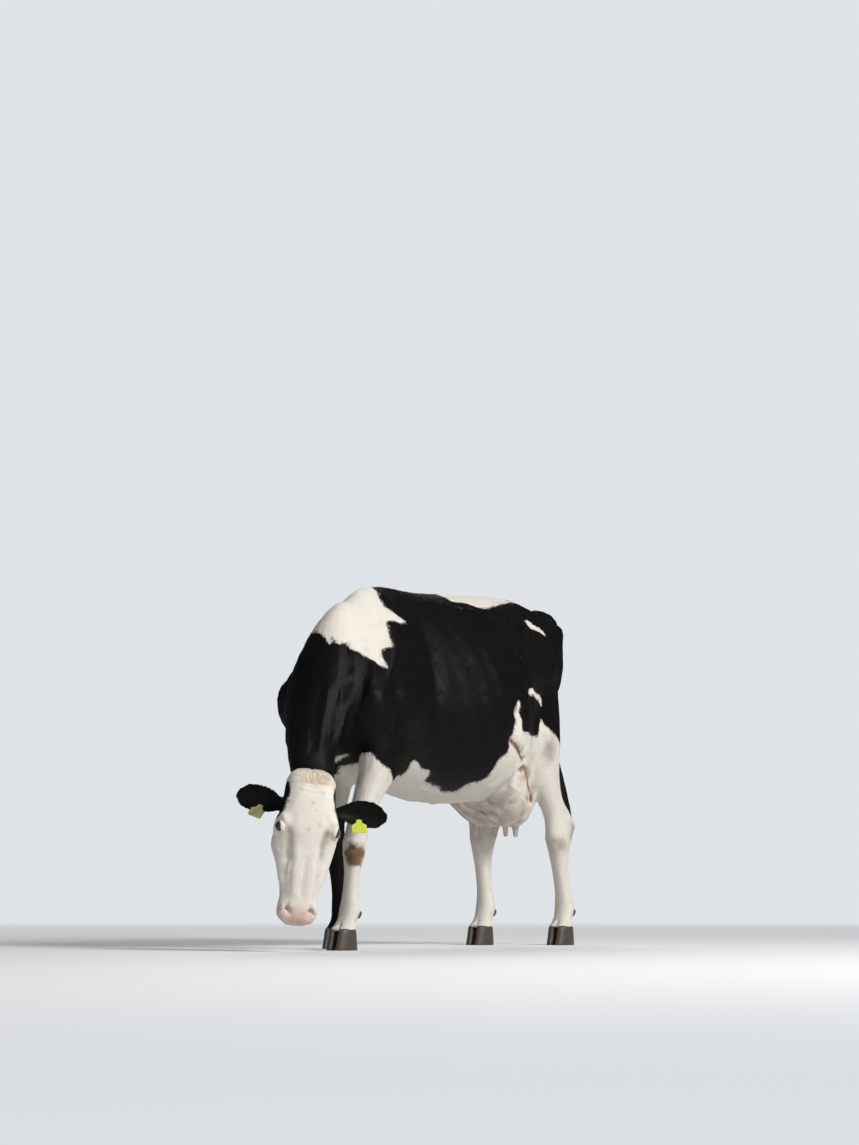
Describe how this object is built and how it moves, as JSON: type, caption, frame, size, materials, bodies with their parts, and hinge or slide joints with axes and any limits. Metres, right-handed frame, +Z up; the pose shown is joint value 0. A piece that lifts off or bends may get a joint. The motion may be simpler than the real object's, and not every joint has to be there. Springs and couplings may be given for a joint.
{
  "type": "grazing dairy cow model",
  "caption": "Life-size still model of a black and white dairy cow grazing: head down and turned left, full udder, tail hanging, an ear tag in each ear.",
  "frame": {"origin": "middle of the model's footprint, at the level the claws stand on", "axes": "+Z up; the body faces -Y, with its left side towards +X"},
  "size_m": [0.757, 2.1852, 1.47],
  "materials": {
    "coat_black": "short, slightly glossy hair",
    "coat_white": "short, soft hair",
    "udder_skin": "thin, fine-haired skin",
    "horn": "dull horn",
    "eye": "wet",
    "ear_tag": "satin plastic"
  },
  "bodies": {
    "root": {"trunk": "coat_black", "neck": "coat_black", "head": "coat_white", "jaw": "coat_white", "ear_left": "coat_black", "ear_right": "coat_black", "eye_left": "eye", "eye_right": "eye", "tag_left": "ear_tag", "tag_right": "ear_tag", "foreleg_left": "coat_white", "foreleg_right": "coat_black", "hindleg_left": "coat_white", "hindleg_right": "coat_white", "claw_fore_left_outer": "horn", "claw_fore_left_inner": "horn", "claw_fore_right_outer": "horn", "claw_fore_right_inner": "horn", "claw_hind_left_outer": "horn", "claw_hind_left_inner": "horn", "claw_hind_right_outer": "horn", "claw_hind_right_inner": "horn", "dewclaw_fore_left_outer": "horn", "dewclaw_fore_left_inner": "horn", "dewclaw_fore_right_outer": "horn", "dewclaw_fore_right_inner": "horn", "dewclaw_hind_left_outer": "horn", "dewclaw_hind_left_inner": "horn", "dewclaw_hind_right_outer": "horn", "dewclaw_hind_right_inner": "horn", "udder": "udder_skin", "tail": "coat_black", "tail_switch": "coat_black"}
  },
  "joints": []
}
